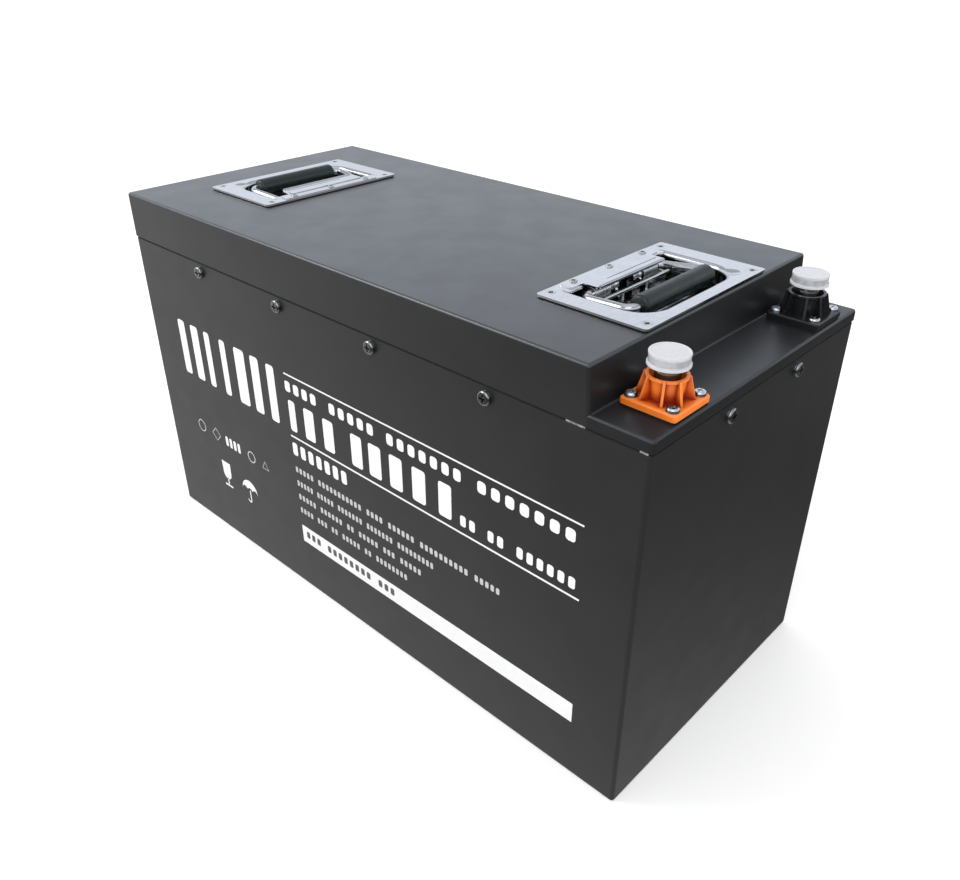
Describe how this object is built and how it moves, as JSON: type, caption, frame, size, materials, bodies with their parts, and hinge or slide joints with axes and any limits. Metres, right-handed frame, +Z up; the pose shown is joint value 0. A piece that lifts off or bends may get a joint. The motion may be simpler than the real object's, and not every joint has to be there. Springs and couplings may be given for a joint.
{
  "type": "deep cycle battery",
  "caption": "Deep cycle leisure battery in a black steel case with sprung recess handles on top and capped bolt-down terminals on an end shelf.",
  "frame": {"origin": "centre of the underside of the case", "axes": "+X along the length towards the terminal end, +Y away from the labelled long face, +Z up"},
  "size_m": [0.5246, 0.2446, 0.31],
  "materials": {
    "painted_steel": "satin black powder coat with a fine texture",
    "plain_steel": "plain galvanised steel",
    "zinc_steel": "bright zinc plated steel",
    "bright_plate": "bright chrome plated steel",
    "spring_steel": "oiled spring steel",
    "grip_rubber": "smooth dark rubber",
    "black_rubber": "matte black rubber",
    "orange_plastic": "moulded orange plastic, soft gloss",
    "black_plastic": "moulded black plastic, soft gloss",
    "white_plastic": "milky white plastic, slightly translucent",
    "plated_brass": "nickel plated brass",
    "cell_aluminium": "drawn aluminium",
    "electrode_stack": "wound electrode stack, drawn as one block",
    "busbar_copper": "bare copper",
    "board_fibre": "fibreglass board",
    "board_green": "green circuit board",
    "grey_foam": "closed-cell foam",
    "red_sleeve": "red cable sleeve"
  },
  "bodies": {
    "root": {"balance_leads": "red_sleeve", "bms_board": "board_green", "bms_connectors": "busbar_copper", "bms_housing": "cell_aluminium", "bms_screws": "zinc_steel", "busbar_links": "busbar_copper", "busbar_negative": "busbar_copper", "busbar_positive": "busbar_copper", "cable_lugs": "plated_brass", "cable_negative": "black_rubber", "cable_pack_negative": "black_rubber", "cable_positive": "red_sleeve", "case_body": "painted_steel", "case_gasket": "black_rubber", "cell_cans": "cell_aluminium", "cell_electrodes": "electrode_stack", "cell_lids": "cell_aluminium", "cell_posts": "cell_aluminium", "cell_separators": "board_fibre", "foam_base_pad": "grey_foam", "foam_end_pads": "grey_foam", "foam_side_pads": "grey_foam", "handle_bracket_left": "zinc_steel", "handle_bracket_right": "zinc_steel", "handle_cover_plate_left": "bright_plate", "handle_cover_plate_right": "bright_plate", "handle_dish_left": "bright_plate", "handle_dish_right": "bright_plate", "handle_gaskets": "black_rubber", "handle_nuts": "plain_steel", "handle_rivets": "bright_plate", "handle_screws": "zinc_steel", "handle_springs_left": "spring_steel", "handle_springs_right": "spring_steel", "lid": "painted_steel", "lid_inner_frame": "plain_steel", "lid_screws": "zinc_steel", "lid_weld_nuts": "plain_steel", "pack_end_plates": "cell_aluminium", "pack_straps": "plain_steel", "pack_top_board": "board_fibre", "pole_nuts": "plain_steel", "terminal_base_negative": "black_plastic", "terminal_base_positive": "orange_plastic", "terminal_clamp_nuts": "plain_steel", "terminal_gaskets": "black_rubber", "terminal_post_negative": "plated_brass", "terminal_post_positive": "plated_brass", "terminal_screw_nuts": "plain_steel", "terminal_screws": "zinc_steel"},
    "handle_right": {"handle_bail_right": "bright_plate", "handle_grip_right": "grip_rubber"},
    "handle_left": {"handle_bail_left": "bright_plate", "handle_grip_left": "grip_rubber"},
    "cap_positive": {"terminal_cap_positive": "white_plastic"},
    "cap_negative": {"terminal_cap_negative": "white_plastic"}
  },
  "joints": [
    {"name": "handle_right_swing", "type": "hinge", "parent": "root", "child": "handle_right", "pos_m": [0.1531, 0, 0.2995], "axis": [0, -1, 0], "range_deg": [0, 84], "stiffness_Nm_per_rad": 0.15, "deforming": ["handle_springs_right"]},
    {"name": "handle_left_swing", "type": "hinge", "parent": "root", "child": "handle_left", "pos_m": [-0.1531, 0, 0.2995], "axis": [0, 1, 0], "range_deg": [0, 84], "stiffness_Nm_per_rad": 0.15, "deforming": ["handle_springs_left"]},
    {"name": "cap_positive_lift", "type": "slide", "parent": "root", "child": "cap_positive", "axis": [0, 0, 1], "range_m": [0, 0.04]},
    {"name": "cap_negative_lift", "type": "slide", "parent": "root", "child": "cap_negative", "axis": [0, 0, 1], "range_m": [0, 0.04]}
  ]
}
